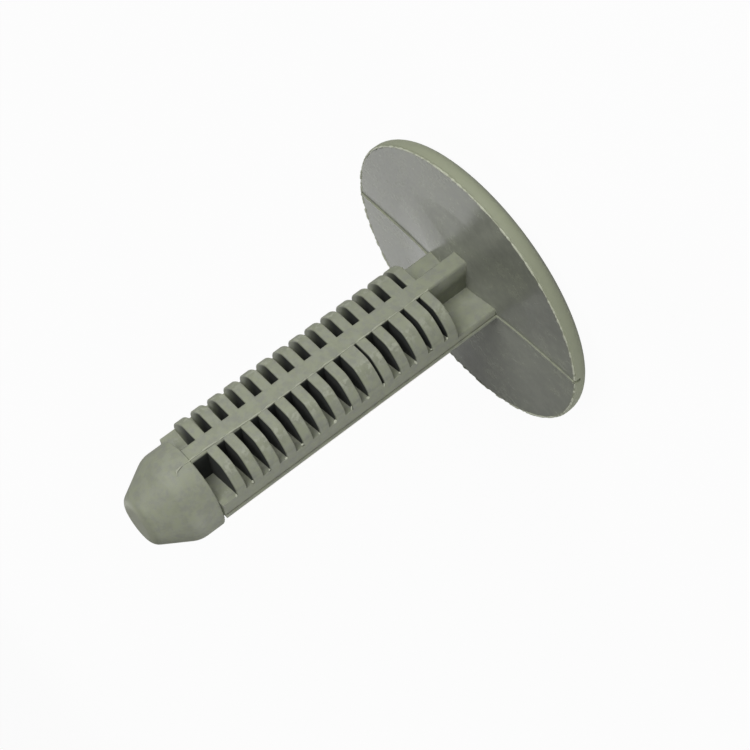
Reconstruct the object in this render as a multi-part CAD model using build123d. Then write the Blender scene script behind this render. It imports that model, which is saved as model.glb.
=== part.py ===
from build123d import *

import math
import os

# Plastic push rivet with a fir-tree shank, moulded in one piece. Sizes are in mm.
# It stands on its domed head: +Z runs up the shank to the tip and the origin is
# the lowest point of the dome. The mould parted on the XZ plane, so the side
# ribs and the line that the mould left lie in that plane, and -Y is the front.

# Head
HEAD_D = 25.4  # across the rim
HEAD_THICK = 2.6  # from the top of the dome to the flat of the underside
RIM_WALL = 0.5  # straight wall between the underside and the shoulder
SHOULDER_R = 1.1  # rounding between the rim and the dome
RIM_EDGE_R = 0.15  # rounding of the rim at the underside
SWELL_D = 16.4  # the underside is flat outside this circle
SWELL_HEIGHT = 0.42  # how far the underside rises at the shank
SWELL_TOP_D = 3.0  # level middle of that rise

# Ribs, a cross in section
RIB_THICK = 1.5
FRONT_REACH = 3.7  # from the axis to the outer face of the front rib
SIDE_REACH = 3.92  # from the axis to the outer faces of the side ribs
RIB_EDGE_R = 0.22  # rounding of the ribs' outer edges
HEEL_REACH = 1.45  # between the fins the side ribs slope forward to here at their ends

# Fins
FIN_COUNT = 14
FIN_R = 4.4  # round parts of the front half
FIN_FLAT_Y = 3.7  # flat at the front, flush with the front rib
FIN_THICK = 0.88
FIN_PITCH = 1.56
FIN_CORNER_R = 1.5  # bends between the flats and the round parts
FIN_EDGE_R = 0.1
NECK = 3.98  # from the flat of the underside to the first fin
LAST_GAP = 1.35  # from the last fin to the tip
BACK_R = 3.4  # the half behind the mould line is shallower and round

# Tip
TIP_R = 3.74
TIP_WALL = 1.5  # straight part of the tip
TIP_LENGTH = 5.2
TIP_SLOPE = 30.0  # degrees between the flank and the axis
TIP_SHOULDER_R = 2.2  # bend between the straight part and the flank
TIP_END_R = 1.0  # rounding of the blunt end
TIP_BASE_R = 0.1  # rounding of the edge towards the fins

# Line that the mould left where it parted
SEAM_WIDTH = 0.22
SEAM_HEIGHT = 0.13
SEAM_NOTCH = 0.3  # nick in the rim where the line ends

# Gaps where the plastic filled part of the space: gap number counted from the
# head, side (-1 or 1 along X) and how much of the gap's height is filled
FILLED_GAPS = [
    (1, -1, 0.26),
    (2, -1, 0.22),
    (5, -1, 0.44),
    (1, 1, 0.2),
]

FIRST_FIN = HEAD_THICK + NECK
TIP_BASE = FIRST_FIN + (FIN_COUNT - 1) * FIN_PITCH + FIN_THICK + LAST_GAP
BELOW = (Align.CENTER, Align.MAX)
ABOVE = (Align.CENTER, Align.MIN)
UP = (Align.CENTER, Align.CENTER, Align.MIN)


def underside_line(lift):
    """Line of the underside in the XZ plane, from the rim edge to the axis."""
    flat_z = HEAD_THICK + lift
    top_z = flat_z + SWELL_HEIGHT
    rim = (HEAD_D / 2 - RIM_EDGE_R, flat_z)
    foot = (SWELL_D / 2, flat_z)
    crest = (SWELL_TOP_D / 2, top_z)
    return [Line(rim, foot), TangentArc(foot, crest, tangent=(-1, 0)), Line(crest, (0, top_z))]


def head():
    """Round head: dome, rounded shoulder, short rim wall, nearly flat underside."""
    centre_x = HEAD_D / 2 - SHOULDER_R
    centre_z = HEAD_THICK - RIM_WALL
    # circle through the origin that runs tangent into the shoulder
    dome_r = (centre_x**2 + centre_z**2 - SHOULDER_R**2) / (2 * (centre_z - SHOULDER_R))
    ratio = dome_r / (dome_r - SHOULDER_R)
    meet = (centre_x * ratio, dome_r + (centre_z - dome_r) * ratio)
    wall_foot = (HEAD_D / 2, centre_z)
    wall_top = (HEAD_D / 2, HEAD_THICK - RIM_EDGE_R)
    edge = (HEAD_D / 2 - RIM_EDGE_R, HEAD_THICK)
    outline = [TangentArc((0, 0), meet, tangent=(1, 0))]
    outline += [TangentArc(wall_foot, meet, tangent=(0, -1))]
    outline += [Line(wall_foot, wall_top)]
    outline += [TangentArc(wall_top, edge, tangent=(0, 1))]
    outline += underside_line(0)
    outline += [Line((0, HEAD_THICK + SWELL_HEIGHT), (0, 0))]
    return revolve(Plane.XZ * make_face(outline), Axis.Z)


def rib_section():
    """Cross of four ribs; the front half reaches further than the back half."""
    front = Rectangle(RIB_THICK, FRONT_REACH, align=BELOW)
    front += Rectangle(2 * SIDE_REACH, RIB_THICK / 2, align=BELOW)
    back = Rectangle(RIB_THICK, BACK_R, align=ABOVE)
    back += Rectangle(2 * BACK_R, RIB_THICK / 2, align=ABOVE)
    section = front + (back & Circle(BACK_R))
    outer = [v for v in section.vertices() if Vector(v.X, v.Y).length > BACK_R - RIB_EDGE_R]
    return fillet([v for v in outer if abs(v.Y) > RIB_THICK / 4], RIB_EDGE_R)


def ribs():
    """The four ribs from the head to the tip."""
    return Pos(0, 0, HEAD_THICK) * extrude(rib_section(), TIP_BASE - HEAD_THICK)


def heels():
    """Slopes in front of the side ribs, which close the outer ends of the gaps."""
    inner = RIB_THICK / 2
    corners = [(inner, 0), (SIDE_REACH, 0), (SIDE_REACH, -HEEL_REACH), (inner, -inner)]
    heel = extrude(make_face(Polyline(*corners, close=True)), TIP_BASE - FIRST_FIN)
    return Pos(0, 0, FIRST_FIN) * (heel + mirror(heel, Plane.YZ))


def fin_section():
    """A fin from above: circle with three flats in front, smaller circle behind."""
    front = Circle(FIN_R) & Rectangle(2 * SIDE_REACH, FIN_FLAT_Y, align=BELOW)
    bends = [v for v in front.vertices() if v.Y < -RIB_THICK / 4]
    back = Circle(BACK_R) & Rectangle(2 * BACK_R, BACK_R, align=ABOVE)
    return fillet(bends, FIN_CORNER_R) + back


def fin():
    """One fin on the XY plane, its rims rounded."""
    plate = extrude(fin_section(), FIN_THICK)
    rims = plate.edges().filter_by(Plane.XY)
    return fillet(rims, FIN_EDGE_R)


def fill(gap, side, height):
    """Plastic that ran into one front quarter of a gap, under the upper fin."""
    quarter = fin_section() & (Pos(side * FIN_R, 0) * Rectangle(2 * FIN_R, 2 * FIN_R, align=BELOW))
    top = FIRST_FIN + gap * FIN_PITCH
    return Pos(0, 0, top - height) * extrude(quarter, height + FIN_THICK / 2)


def tip():
    """Blunt bullet-shaped tip."""
    slope = math.radians(TIP_SLOPE)
    bend_x = TIP_R - TIP_SHOULDER_R * (1 - math.cos(slope))
    bend_z = TIP_WALL + TIP_SHOULDER_R * math.sin(slope)
    end_x = bend_x - (TIP_LENGTH - bend_z) * math.tan(slope)
    outline = [Line((0, 0), (TIP_R, 0)), Line((TIP_R, 0), (TIP_R, TIP_WALL))]
    outline += [TangentArc((TIP_R, TIP_WALL), (bend_x, bend_z), tangent=(0, 1))]
    outline += [Line((bend_x, bend_z), (end_x, TIP_LENGTH))]
    outline += [Line((end_x, TIP_LENGTH), (0, TIP_LENGTH)), Line((0, TIP_LENGTH), (0, 0))]
    bullet = revolve(Plane.XZ * make_face(outline), Axis.Z)
    blunt = fillet(bullet.edges().group_by(Axis.Z)[-1], TIP_END_R)
    return Pos(0, 0, TIP_BASE) * fillet(blunt.edges().group_by(Axis.Z)[0], TIP_BASE_R)


def seam():
    """Thin raised line on the side ribs and across the underside of the head."""
    along = Box(2 * (SIDE_REACH + SEAM_HEIGHT), SEAM_WIDTH, TIP_BASE - HEAD_THICK, align=UP)
    root_z = HEAD_THICK - RIM_WALL
    end_x = HEAD_D / 2 - RIM_EDGE_R
    outline = underside_line(SEAM_HEIGHT)
    outline += [Line((0, HEAD_THICK + SEAM_HEIGHT + SWELL_HEIGHT), (0, root_z))]
    outline += [Line((0, root_z), (end_x, root_z))]
    outline += [Line((end_x, root_z), (end_x, HEAD_THICK + SEAM_HEIGHT))]
    across = extrude(Plane.XZ * make_face(outline), SEAM_WIDTH / 2, both=True)
    return Pos(0, 0, HEAD_THICK) * along + across + mirror(across, Plane.YZ)


def rim_nick():
    """Small upright notch in the rim where the mould line leaves the underside."""
    wedge = Box(SEAM_NOTCH, SEAM_NOTCH, RIM_WALL + SEAM_HEIGHT, align=UP)
    return Pos(-HEAD_D / 2, 0, HEAD_THICK - RIM_WALL) * Rot(0, 0, 45) * wedge


def push_rivet():
    """The whole rivet as one solid."""
    body = head() + ribs() + heels() + tip() + seam()
    for number in range(FIN_COUNT):
        body += Pos(0, 0, FIRST_FIN + number * FIN_PITCH) * fin()
    for gap, side, height in FILLED_GAPS:
        body += fill(gap, side, height)
    return body - rim_nick()


os.makedirs("parts", exist_ok=True)
rivet = push_rivet()
print("volume", round(rivet.volume, 1), "solids", len(rivet.solids()), "valid", rivet.is_valid)
export_step(rivet, "parts/push_rivet.step")
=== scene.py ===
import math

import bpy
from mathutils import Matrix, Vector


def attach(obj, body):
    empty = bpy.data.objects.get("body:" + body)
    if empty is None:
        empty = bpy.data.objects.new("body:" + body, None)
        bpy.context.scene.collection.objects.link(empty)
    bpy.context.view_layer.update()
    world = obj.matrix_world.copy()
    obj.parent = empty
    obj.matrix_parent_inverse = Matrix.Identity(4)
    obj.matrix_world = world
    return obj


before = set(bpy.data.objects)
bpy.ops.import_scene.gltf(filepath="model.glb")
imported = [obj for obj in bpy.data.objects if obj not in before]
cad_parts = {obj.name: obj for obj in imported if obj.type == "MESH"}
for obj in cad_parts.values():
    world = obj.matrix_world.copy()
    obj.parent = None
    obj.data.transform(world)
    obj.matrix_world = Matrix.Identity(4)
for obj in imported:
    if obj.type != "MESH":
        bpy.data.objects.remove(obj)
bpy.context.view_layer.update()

# %% [markdown]
# # A moulded nylon push rivet
# The rivet is one piece of plastic: a wide thin head, a shank of crossed ribs with
# fins, and a blunt tip. The frame brings in its exact solid, standing on its domed
# head with +Z running up the shank, so no main shape is modelled here. Blender adds
# what a mould and a workbench add: the skin of the plastic, the thin flash that
# squeezed out where the mould closed, the light and the camera.

MM = 0.001
RIVET = "push_rivet"

# %% [markdown]
# ## The camera
# The rivet stands upright in the frame, but it should lie across the picture with
# its tip at the lower left. The model is never turned for that. The camera is
# rolled instead, which keeps every Object coordinate and every pattern in place. A
# lens of about 106 mm on a 36 mm sensor, from a hand's width away, flattens the
# perspective the way a close product picture does.

# %% Camera
PICTURE_PIXELS = 750
FOCAL_PIXELS = 2200
CAMERA_MM = Vector((-82.45, -136.84, 63.64))
FORWARD = Vector((0.48395, 0.82093, -0.30308))
ROLL = math.radians(126.432)

camera_data = bpy.data.cameras.new("studio_camera")
camera_data.sensor_width = 36
camera_data.lens = camera_data.sensor_width * FOCAL_PIXELS / PICTURE_PIXELS
camera_data.clip_start = 0.01
camera = bpy.data.objects.new("studio_camera", camera_data)
bpy.context.collection.objects.link(camera)
camera.rotation_mode = "QUATERNION"
level_view = FORWARD.to_track_quat("-Z", "Y")
camera.rotation_quaternion = level_view @ Matrix.Rotation(-ROLL, 3, "Z").to_quaternion()
camera.location = CAMERA_MM * MM
bpy.context.scene.camera = camera
print("lens", round(camera_data.lens, 1), "mm, distance", round(CAMERA_MM.length), "mm")

# %% [markdown]
# ## A short way to write node trees
# A node tree is easier to read as an expression than as a page of nodes. The class
# below wraps one output socket. Adding or multiplying two of them, or one and a
# number, adds the Math node that does it. Every other node comes from one function
# that takes the tree, the node's type, its settings and its inputs, and it serves
# shader trees and Geometry Nodes trees alike.

# %% Field: a value that changes over the surface


class Field:
    """One output socket of a node tree, with the arithmetic of plain numbers."""

    def __init__(self, tree, socket):
        self.tree = tree
        self.socket = socket

    def math(self, operation, *others):
        node = self.tree.nodes.new("ShaderNodeMath")
        node.operation = operation
        for slot, value in zip(node.inputs, (self, *others)):
            plug(self.tree, slot, value)
        return Field(self.tree, node.outputs[0])

    def __add__(self, other):
        return self.math("ADD", other)

    __radd__ = __add__

    def __mul__(self, other):
        return self.math("MULTIPLY", other)

    __rmul__ = __mul__

    def __sub__(self, other):
        return self.math("SUBTRACT", other)

    def __rsub__(self, other):
        return (self * -1) + other

    def __truediv__(self, other):
        return self.math("DIVIDE", other)

    def size(self):
        """The value without its sign."""
        return self.math("ABSOLUTE")

    def smooth(self, low, high):
        """0 at low, 1 at high and an even curve between; low may be the larger."""
        inputs = {"Value": self, "From Min": low, "From Max": high}
        settings = {"interpolation_type": "SMOOTHSTEP"}
        return add_node(self.tree, "ShaderNodeMapRange", settings, inputs, "Result")


# %% One way to add any node


def plug(tree, slot, value):
    """Gives an input socket a link if the value is a Field, else a plain value."""
    if isinstance(value, Field):
        tree.links.new(value.socket, slot)
    else:
        slot.default_value = value


def add_node(tree, kind, settings=None, inputs=None, output=0):
    """Adds a node, sets it up and returns one of its outputs."""
    made = tree.nodes.new(kind)
    for name, value in (settings or {}).items():
        setattr(made, name, value)
    for name, value in (inputs or {}).items():
        plug(tree, made.inputs[name], value)
    return Field(tree, made.outputs[output])


# %% Skin: a material that grows line by line
MIX_FACTOR, MIX_LOW, MIX_HIGH, MIX_RESULT = 0, 6, 7, 2  # colour sockets of a Mix node


class Skin:
    """A material whose nodes are added one line at a time."""

    def __init__(self, name):
        self.material = bpy.data.materials.new(name)
        self.material.use_nodes = True
        self.tree = self.material.node_tree
        self.tree.nodes.clear()

    def node(self, kind, settings=None, inputs=None, output=0):
        return add_node(self.tree, "ShaderNode" + kind, settings, inputs, output)

    def split(self, vector):
        """The X, Y and Z of a vector."""
        return [self.node("SeparateXYZ", inputs={"Vector": vector}, output=axis) for axis in "XYZ"]

    def noise(self, where, size_mm, detail=2.0, roughness=0.5):
        """Noise whose blobs are about size_mm across."""
        inputs = {"Vector": where, "Scale": 1 / (size_mm * MM), "Detail": detail}
        inputs["Roughness"] = roughness
        return self.node("TexNoise", inputs=inputs)

    def mix(self, amount, low, high):
        """Colour from low to high as amount goes from 0 to 1."""
        inputs = {MIX_FACTOR: amount, MIX_LOW: low, MIX_HIGH: high}
        return self.node("Mix", {"data_type": "RGBA"}, inputs, MIX_RESULT)

    def finish(self, shader):
        out = self.tree.nodes.new("ShaderNodeOutputMaterial")
        plug(self.tree, out.inputs["Surface"], shader)
        print("material", self.material.name, "with", len(self.tree.nodes), "nodes")
        return self.material


# %% [markdown]
# ## The skin of the nylon
# Grey-green nylon comes out of a fine-blasted mould with a satin skin. It is never
# one even colour: the melt leaves cloudy patches a few millimetres wide, thin edges
# look paler and a little yellower because light gets into them, and dust and a
# trace of release agent leave a fine mottle. All the patterns read Object
# coordinates in metres, so their sizes are real sizes.
#
# A finish that follows the shape also has to know where the shape is. These are
# the sizes of the solid that it needs.

# %% Places on the solid, in mm
HEAD_MM = 2.6  # height of the flat underside
HEAD_R = 12.7
FIN_R = 4.4  # round parts of the front half
BACK_R = 3.4
FIN_FLAT = 3.7  # flat of the fins and face of the front rib
FIN_SIDE = 3.92  # outer faces of the side ribs
FIN_COUNT = 14
FIN_PITCH = 1.56
FIN_THICK = 0.88
FINS_FROM = 6.58
TIP_FROM = 29.09
TIP_TO = 34.29
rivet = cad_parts[RIVET]
print(RIVET, "has", len(rivet.data.polygons), "faces; its tip ends at", TIP_TO, "mm")

# %% Spot: where a point is, and which way it faces


class Spot:
    """What the skin knows of each point: its place in mm and its direction."""

    def __init__(self, skin):
        self.where = skin.node("TexCoord", output="Object")
        self.x, self.y, self.z = [part / MM for part in skin.split(self.where)]
        self.radius = (self.x * self.x + self.y * self.y).math("SQRT")
        self.normal = skin.node("NewGeometry", output="Normal")
        self.along, self.up = skin.split(self.normal)[1:]
        bottom = self.z.smooth(FINS_FROM, FINS_FROM + 0.05)
        self.between = bottom * self.z.smooth(TIP_FROM, TIP_FROM - 0.05)
        lower = self.z.smooth(HEAD_MM + 0.8, HEAD_MM + 0.6)
        self.underside = self.up.smooth(0.9, 0.98) * lower


# %% [markdown]
# ### Pale edges
# Edges are found with the Bevel node. It blurs the normal over a small radius, and
# where the blurred normal leaves the true one there is an edge. Vertex tricks such
# as Pointiness would fail here, because a CAD mesh has long thin triangles. The
# mottle breaks the edges up, so that none of them is an even line.

# %% Pale edges
EDGE_MM = 0.13
BEVEL_SAMPLES = 6


def pale_edges(skin, spot, mottle):
    """1 on the sharp edges, broken up by the mottle."""
    soft = skin.node("Bevel", {"samples": BEVEL_SAMPLES}, {"Radius": EDGE_MM * MM})
    dot = {"operation": "DOT_PRODUCT"}
    agree = skin.node("VectorMath", dot, {0: spot.normal, 1: soft}, "Value")
    return (1 - agree).smooth(0.015, 0.2) * mottle.smooth(0.34, 0.6)


# %% [markdown]
# ### Painted shade in the gaps
# The gaps between the fins are narrow and hold almost no light, and their faces are
# painted nearly black as painted shade that grows with the depth. Their depth is the
# distance in from the outline of the fins: a circle with a flat in front and one at
# each side, and a smaller circle behind.
# The faces of the ribs that look outwards are left out, because light still reaches
# them, and so are the open outer ends of the gaps on the far side.

# %% Painted shade in the gaps
SHADE_MM = 0.25  # depth at which a gap is fully dark
FAR_SIDE_MM = (3.6, 1.8)  # between these the far side's gaps go from open to dark


def painted_gap_shade(spot):
    """Painted shade: 1 deep inside the gaps between the fins, 0 on the faces light reaches."""
    behind = spot.y.math("GREATER_THAN", 0.0)
    outline = FIN_R - behind * (FIN_R - BACK_R)
    depth = (outline - spot.radius).math("MINIMUM", spot.y + FIN_FLAT)
    depth = depth.math("MINIMUM", FIN_SIDE - spot.x.size())
    outward = spot.along * (behind * 2 - 1)
    shade = depth.smooth(0.0, SHADE_MM) * spot.between * outward.smooth(0.8, 0.3)
    return shade * spot.x.smooth(*FAR_SIDE_MM)


# %% [markdown]
# ### Painted highlights on the fins and painted light on the end of the tip
# On the front corners of the fins, where the flat turns into the round part and faces
# the front lamp, pale patches about half a millimetre wide are painted on most of
# them as painted highlights. The blunt end of the tip is painted paler too, as
# painted light.

# %% Painted highlights on the fins and painted light on the end of the tip
FIN_CORNER_X = 2.75
FIN_HIGHLIGHT_MM = (0.75, 0.1)  # distances from the corner at which a painted highlight begins and is full


def painted_fin_highlights(spot, blotch):
    """1 in the painted highlights: pale patches on the front corners of the fins."""
    near = (spot.x.size() - FIN_CORNER_X).size().smooth(*FIN_HIGHLIGHT_MM) * spot.between
    return near * blotch.smooth(0.45, 0.62) * spot.along.smooth(-0.4, -0.6)


def painted_tip_light(spot):
    """1 on the blunt end of the tip, which is painted paler as painted light."""
    return spot.up.smooth(0.7, 0.98) * spot.z.smooth(TIP_TO - 1.5, TIP_TO - 0.5)


# %% [markdown]
# ### The nylon itself
# The colours are laid over each other from the widest pattern to the narrowest: the
# clouds, the warmer shank, the mottle, the painted highlights on the fins, the painted
# light on the end of the tip, the rim, the edges and last the painted shade in the
# gaps. The underside of the head was moulded against polished steel, so it is
# smoother than the rest. That lets it mirror a lamp at a low angle. The same
# function makes the paler skin of the flash.

# %% Colours of the nylon
PLAIN = (0.262, 0.272, 0.229, 1)
CLOUDY = (0.288, 0.303, 0.243, 1)
DULL = (0.222, 0.230, 0.198, 1)
# this colour also serves as painted light on the blunt end of the tip
EDGE = (0.352, 0.368, 0.272, 1)
RIM = (0.322, 0.345, 0.236, 1)
SHANK = (0.285, 0.302, 0.218, 1)
MOSSY = (0.290, 0.318, 0.180, 1)
# the pale colour of the painted highlights on the fins' front corners
PAINTED_FIN_HIGHLIGHT = (0.43, 0.45, 0.34, 1)
FLASH = (0.56, 0.58, 0.46, 1)
# the near-black colour of the painted shade in the gaps between the fins
GAP_PAINTED_SHADE = (0.014, 0.017, 0.017, 1)

# %% Nylon
CLOUD_MM = 4.2
MOTTLE_MM = 0.75
BLOTCH_MM = 0.5
GRAIN_MM = 0.11
BUMP_MM = 0.018
NYLON_IOR = 1.53


def nylon(name, paler=0.0):
    """The nylon skin; paler lifts the colour for thin flash that light gets into."""
    skin = Skin(name)
    spot = Spot(skin)
    clouds = skin.noise(spot.where, CLOUD_MM, detail=3)
    mottle = skin.noise(spot.where, MOTTLE_MM, detail=4, roughness=0.62)
    blotch = skin.noise(spot.where, BLOTCH_MM, detail=3, roughness=0.6)
    grain = skin.noise(spot.where, GRAIN_MM, detail=3, roughness=0.6)
    edge = pale_edges(skin, spot, mottle)
    painted_shade = painted_gap_shade(spot)
    elsewhere = 1 - spot.underside
    rim = spot.radius.smooth(HEAD_R - 0.35, HEAD_R - 0.1)

    colour = skin.mix(clouds.smooth(0.36, 0.66), PLAIN, CLOUDY)
    colour = skin.mix(elsewhere * 0.5, colour, SHANK)
    colour = skin.mix(mottle.smooth(0.6, 0.38) * 0.6, colour, DULL)
    colour = skin.mix(blotch.smooth(0.58, 0.42) * elsewhere * 0.25, colour, MOSSY)
    # painted highlights: pale patches on the fins' front corners that face the front lamp
    colour = skin.mix(painted_fin_highlights(spot, blotch) * 0.6, colour, PAINTED_FIN_HIGHLIGHT)
    # painted light: the blunt end of the tip is made paler, in the colour of the edges
    colour = skin.mix(painted_tip_light(spot) * 0.9, colour, EDGE)
    colour = skin.mix(rim * 0.8, colour, RIM)
    colour = skin.mix(edge * 0.75, colour, EDGE)
    # painted shade: the gaps between the fins turn nearly black
    colour = skin.mix(painted_shade * 0.95, colour, GAP_PAINTED_SHADE)
    if paler:
        colour = skin.mix(paler, colour, FLASH)

    height = (grain * 0.35 + mottle * 0.65) * (1 - spot.underside * 0.8)
    bump_inputs = {"Height": height, "Distance": BUMP_MM * MM, "Strength": 0.55}
    bump = skin.node("Bump", inputs=bump_inputs)
    roughness = 0.5 + mottle * 0.1 + clouds * 0.06 + edge * 0.06
    roughness = roughness + painted_shade * 0.3 - spot.underside * 0.32
    inputs = {"Base Color": colour, "Roughness": roughness, "IOR": NYLON_IOR, "Normal": bump}
    return skin.finish(skin.node("BsdfPrincipled", inputs=inputs))


nylon_skin = nylon("nylon_skin")
for material_slot in rivet.material_slots:
    material_slot.material = nylon_skin

# %% [markdown]
# ## Flash and crumbs
# Where the halves of a mould close, a little melt squeezes out and freezes as a thin
# ragged edge. It catches the light, so it shows as a pale broken line. Each line
# here is a path of a few points. A Geometry Nodes tree resamples it, lets noise push
# it about, and sweeps a small round profile along it, thick in some places and next
# to nothing in others. The path lies on the surface of the solid or just under it,
# so the thin parts of the bead are hidden and the thick parts break through.
#
# Such a tree has to end in plain geometry with a material. A copy of the evaluated
# mesh is kept, and the modifier goes with the path before the frame sees the piece.

# %% Geometry Nodes: opening, closing and running a tree


def open_tree(name, sockets):
    """A tree with one geometry output, and its named inputs as Fields."""
    tree = bpy.data.node_groups.new(name, "GeometryNodeTree")
    for label, kind in sockets:
        tree.interface.new_socket(label, in_out="INPUT", socket_type="NodeSocket" + kind)
    tree.interface.new_socket("Mesh", in_out="OUTPUT", socket_type="NodeSocketGeometry")
    entry = tree.nodes.new("NodeGroupInput")
    return tree, [Field(tree, entry.outputs[label]) for label, _ in sockets]


def close_tree(tree, mesh, skin):
    """Realizes the mesh, gives it its material and sends it out."""
    mesh = add_node(tree, "GeometryNodeRealizeInstances", inputs={"Geometry": mesh})
    inputs = {"Geometry": mesh, "Material": skin}
    mesh = add_node(tree, "GeometryNodeSetMaterial", inputs=inputs)
    plug(tree, tree.nodes.new("NodeGroupOutput").inputs["Mesh"], mesh)


def grow(name, tree, points_mm, edges, values):
    """Runs a tree on points and edges, and keeps the result as a plain mesh."""
    path_mesh = bpy.data.meshes.new(name + "_path")
    path_mesh.from_pydata([Vector(p) * MM for p in points_mm], edges, [])
    path_object = bpy.data.objects.new(name + "_path", path_mesh)
    bpy.context.collection.objects.link(path_object)
    modifier = path_object.modifiers.new("grow", "NODES")
    modifier.node_group = tree
    for item in tree.interface.items_tree:
        if item.name in values:
            modifier[item.identifier] = values[item.name]
    evaluated = path_object.evaluated_get(bpy.context.evaluated_depsgraph_get())
    mesh = bpy.data.meshes.new_from_object(evaluated)
    mesh.name = name
    bpy.data.objects.remove(path_object)
    piece = bpy.data.objects.new(name, mesh)
    bpy.context.collection.objects.link(piece)
    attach(piece, "root")
    print(name, "has", len(mesh.polygons), "faces")


def scaled(tree, vector, amount):
    """A vector made longer or shorter."""
    inputs = {0: vector, "Scale": amount}
    return add_node(tree, "ShaderNodeVectorMath", {"operation": "SCALE"}, inputs)


# %% The flash tree
PATH_STEP_MM = 0.09
RAGGED_MM = 0.55
BEAD_SIDES = 6
THINNEST = 0.25  # of the full thickness

flash_sockets = (("Path", "Geometry"), ("Thickness", "Float"), ("Wander", "Float"))
flash_sockets += (("Skin", "Material"),)
flash_tree, (path, thickness, wander, flash_material) = open_tree("flash", flash_sockets)
here = add_node(flash_tree, "GeometryNodeInputPosition")
ragged_inputs = {"Vector": here, "Scale": 1 / (RAGGED_MM * MM), "Detail": 3.0}
ragged = add_node(flash_tree, "ShaderNodeTexNoise", inputs=ragged_inputs, output="Fac")
jitter = add_node(flash_tree, "ShaderNodeTexNoise", inputs=ragged_inputs, output="Color")
less_half = {0: jitter, 1: (0.5, 0.5, 0.5)}
centred = add_node(flash_tree, "ShaderNodeVectorMath", {"operation": "SUBTRACT"}, less_half)
push = scaled(flash_tree, centred, wander)

# %% The flash tree: from the path to the bead
curve = add_node(flash_tree, "GeometryNodeMeshToCurve", inputs={"Mesh": path})
even_inputs = {"Curve": curve, "Length": PATH_STEP_MM * MM}
curve = add_node(flash_tree, "GeometryNodeResampleCurve", {"mode": "LENGTH"}, even_inputs)
pushed_inputs = {"Geometry": curve, "Offset": push}
curve = add_node(flash_tree, "GeometryNodeSetPosition", inputs=pushed_inputs)
ring_inputs = {"Resolution": BEAD_SIDES, "Radius": 1.0}
ring = add_node(flash_tree, "GeometryNodeCurvePrimitiveCircle", inputs=ring_inputs)
width = thickness * (THINNEST + ragged.smooth(0.38, 0.6) * (1 - THINNEST))
bead_inputs = {"Curve": curve, "Profile Curve": ring, "Scale": width, "Fill Caps": True}
bead = add_node(flash_tree, "GeometryNodeCurveToMesh", inputs=bead_inputs)
close_tree(flash_tree, bead, flash_material)

# %% Flash along the rim
RIM_POINTS = 240
RIM_BEAD_MM = 0.1
RIM_WANDER_MM = 0.05
RIM_PATH_R = HEAD_R - 0.14
RIM_PATH_Z = HEAD_MM - 0.03


def rim_point(number):
    """A point of the rim's path."""
    turn = 2 * math.pi * number / RIM_POINTS
    return (RIM_PATH_R * math.cos(turn), RIM_PATH_R * math.sin(turn), RIM_PATH_Z)


flash_skin = nylon("flash_skin", paler=0.85)
rim_path = [rim_point(number) for number in range(RIM_POINTS)]
rim_edges = [(number, (number + 1) % RIM_POINTS) for number in range(RIM_POINTS)]
rim_values = {"Thickness": RIM_BEAD_MM * MM, "Wander": RIM_WANDER_MM * MM, "Skin": flash_skin}
grow("rim_flash", flash_tree, rim_path, rim_edges, rim_values)

# %% [markdown]
# ### The line down the front rib
# A second, finer line runs down the front rib near one of its edges. Towards the
# tip it drifts to the middle, runs on over the tip and ends there in a small hook.
# Its points are few and listed one by one, in mm.

# %% Flash down the front rib
RIB_BEAD_MM = 0.09
RIB_WANDER_MM = 0.08
RIB_X = -0.72
DRIFTED_X = -0.5
RIB_FACE = -FIN_FLAT
PROUD_FACE = RIB_FACE - 0.02

rib_path = [(RIB_X, RIB_FACE, FINS_FROM), (RIB_X, RIB_FACE, TIP_FROM - 6)]
rib_path += [(DRIFTED_X, PROUD_FACE, TIP_FROM - 1.2), (DRIFTED_X, PROUD_FACE, TIP_FROM + 0.8)]
rib_path += [(-0.62, RIB_FACE, TIP_FROM + 1.3), (-0.85, RIB_FACE + 0.06, TIP_FROM + 1.45)]
rib_edges = [(number, number + 1) for number in range(len(rib_path) - 1)]
thin_skin = nylon("thin_flash_skin", paler=0.4)
rib_values = {"Thickness": RIB_BEAD_MM * MM, "Wander": RIB_WANDER_MM * MM, "Skin": thin_skin}
grow("rib_flash", flash_tree, rib_path, rib_edges, rib_values)

# %% [markdown]
# ### Crumbs
# Each gap ends in a sharp corner at the near side rib, and a crumb of plastic hangs
# there. One small ball is instanced on a point at each gap, and random numbers with
# a fixed seed turn and squash it, so that no two crumbs are alike.

# %% The crumb tree
CRUMB_TURN = 6.28  # radians, about a full turn
CRUMB_THINNEST = (0.3, 0.3, 0.5)
CRUMB_THICKEST = (0.8, 0.7, 1.2)


def random_vector(tree, low, high, seed):
    """A random vector for each point."""
    inputs = {"Min": low, "Max": high, "Seed": seed}
    return add_node(tree, "FunctionNodeRandomValue", {"data_type": "FLOAT_VECTOR"}, inputs)


crumb_sockets = (("Points", "Geometry"), ("Size", "Float"), ("Seed", "Int"))
crumb_sockets += (("Skin", "Material"),)
crumb_tree, (points, crumb_size, seed, crumb_material) = open_tree("crumbs", crumb_sockets)
ball_inputs = {"Radius": 1.0, "Subdivisions": 2}
ball = add_node(crumb_tree, "GeometryNodeMeshIcoSphere", inputs=ball_inputs)
turned = random_vector(crumb_tree, (0.0, 0.0, 0.0), (CRUMB_TURN,) * 3, seed)
squashed = random_vector(crumb_tree, CRUMB_THINNEST, CRUMB_THICKEST, seed)
heap_inputs = {"Points": points, "Instance": ball, "Rotation": turned}
heap_inputs["Scale"] = scaled(crumb_tree, squashed, crumb_size)
heap = add_node(crumb_tree, "GeometryNodeInstanceOnPoints", inputs=heap_inputs)
close_tree(crumb_tree, heap, crumb_material)

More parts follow.
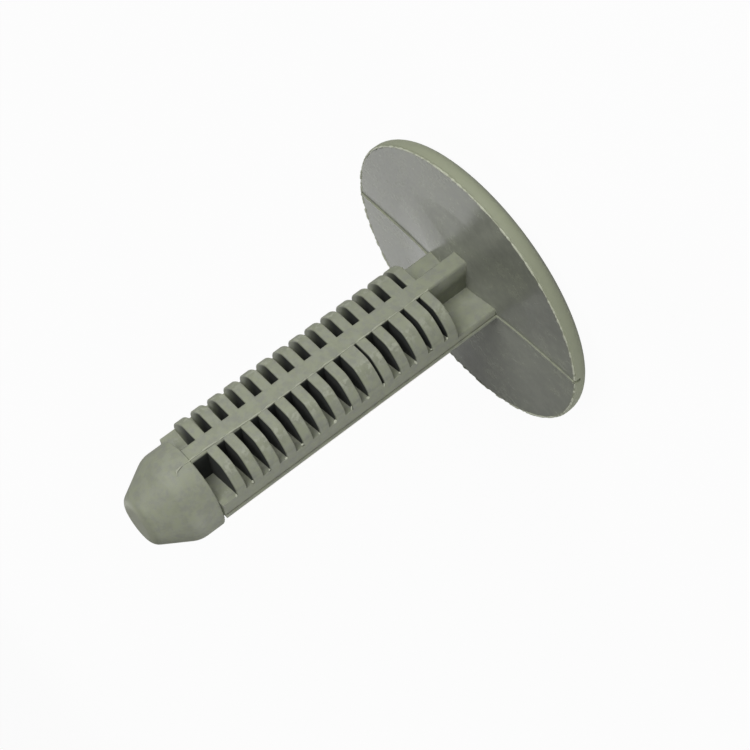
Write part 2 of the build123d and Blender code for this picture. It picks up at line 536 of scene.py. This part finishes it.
# %% A crumb at the end of each gap
CRUMB_MM = 0.16
CRUMB_SEED = 4
CRUMB_X = -FIN_SIDE + 0.06
CRUMB_Y = -1.55
CRUMB_SWAY = 0.12
CRUMB_RHYTHM = 2.3
CRUMB_LIFT = 0.1


def crumb_point(gap):
    """The place of a gap's crumb, a little to and fro from gap to gap."""
    fin_top = FINS_FROM + gap * FIN_PITCH + FIN_THICK
    sway = CRUMB_SWAY * math.sin(gap * CRUMB_RHYTHM)
    return (CRUMB_X, CRUMB_Y - sway, fin_top + CRUMB_LIFT)


crumb_points = [crumb_point(gap) for gap in range(FIN_COUNT)]
crumb_values = {"Size": CRUMB_MM * MM, "Seed": CRUMB_SEED, "Skin": flash_skin}
grow("gap_crumbs", crumb_tree, crumb_points, [], crumb_values)

# %% [markdown]
# ## The floor
# A white table. Its own colour is a pale grey-white that takes the rivet's soft
# shadow. The camera sees it mostly as white paper, and the plastic mirrors it
# dimly, both through Light Path. The glow isn't sampled as a lamp.

# %% Floor
FLOOR_MM = 3000
WHITE = (1, 1, 1, 1)
TABLE_DARK = (0.80, 0.80, 0.80, 1)
TABLE_PALE = (0.84, 0.84, 0.84, 1)
TABLE_GRAIN_MM = 0.8
WHITE_SHARE = 0.96
MIRRORED_SHARE = 0.22

half = FLOOR_MM / 2 * MM
corners = [(-half, -half, 0), (half, -half, 0), (half, half, 0), (-half, half, 0)]
floor_mesh = bpy.data.meshes.new("floor")
floor_mesh.from_pydata(corners, [], [(0, 1, 2, 3)])
floor = bpy.data.objects.new("floor", floor_mesh)
bpy.context.collection.objects.link(floor)

# %% The floor's paper
paper = Skin("white_floor")
floor_where = paper.node("TexCoord", output="Object")
floor_grain = paper.noise(floor_where, TABLE_GRAIN_MM, detail=3)
floor_colour = paper.mix(floor_grain, TABLE_DARK, TABLE_PALE)
table = paper.node("BsdfDiffuse", inputs={"Color": floor_colour})
glow = paper.node("Emission", inputs={"Color": WHITE, "Strength": 1.0})
seen = paper.node("LightPath", output="Is Camera Ray")
mirrored = paper.node("LightPath", output="Is Glossy Ray")
passed = paper.node("LightPath", output="Is Transmission Ray")
white = (seen + mirrored * MIRRORED_SHARE + passed).math("MINIMUM", 1.0) * WHITE_SHARE
floor_skin = paper.finish(paper.node("MixShader", inputs={0: white, 1: table, 2: glow}))
floor_skin.cycles.emission_sampling = "NONE"
floor_mesh.materials.append(floor_skin)

# %% [markdown]
# ## The light
# Soft lamps and almost no fill. The front lamp lights the front rib and the rounded
# fins. The far lamp is small and stands low behind the rivet: at a grazing angle the
# underside of the head mirrors it, so one half of the underside is bright and the
# shank keeps the other half dark. The high lamp adds to that half, and the side lamp
# keeps the side rib and the rim from going black. The world is white to the camera,
# dim in a mirror and black as a light, so the gaps between the fins stay dark.

# %% World
MIRRORED_FILL = 0.22

world = bpy.data.worlds.new("studio")
bpy.context.scene.world = world
world.use_nodes = True
world.cycles.sampling_method = "NONE"
sky = world.node_tree
backdrop = sky.nodes["Background"]
camera_ray = add_node(sky, "ShaderNodeLightPath", output="Is Camera Ray")
passed_ray = add_node(sky, "ShaderNodeLightPath", output="Is Transmission Ray")
mirror_ray = add_node(sky, "ShaderNodeLightPath", output="Is Glossy Ray")
shown = camera_ray + passed_ray + mirror_ray * MIRRORED_FILL
plug(sky, backdrop.inputs["Strength"], shown.math("MINIMUM", 1.0))
backdrop.inputs["Color"].default_value = WHITE

# %% Lamps
LAMP_AWAY_MM = 420
MIDDLE_MM = Vector((0, 0, 15))


def soft_lamp(name, azimuth, elevation, size_mm, watts):
    """A square area lamp round the rivet, in degrees, that looks at its middle."""
    turn, lift = math.radians(azimuth), math.radians(elevation)
    out = Vector((math.cos(turn) * math.cos(lift), math.sin(turn) * math.cos(lift), math.sin(lift)))
    data = bpy.data.lights.new(name, "AREA")
    data.shape = "SQUARE"
    data.size = size_mm * MM
    data.energy = watts
    lamp = bpy.data.objects.new(name, data)
    bpy.context.collection.objects.link(lamp)
    lamp.location = (MIDDLE_MM + out * LAMP_AWAY_MM) * MM
    lamp.rotation_mode = "QUATERNION"
    lamp.rotation_quaternion = (-out).to_track_quat("-Z", "Y")
    print(name, "at azimuth", azimuth, "elevation", elevation, "with", watts, "W")


soft_lamp("front_lamp", 270, 22, 300, 1.596)
soft_lamp("far_lamp", 50, 14, 130, 0.072)
soft_lamp("high_lamp", 35, 36, 100, 0.33)
soft_lamp("side_lamp", 145, 8, 150, 0.728)
bpy.context.scene.view_settings.view_transform = "Standard"
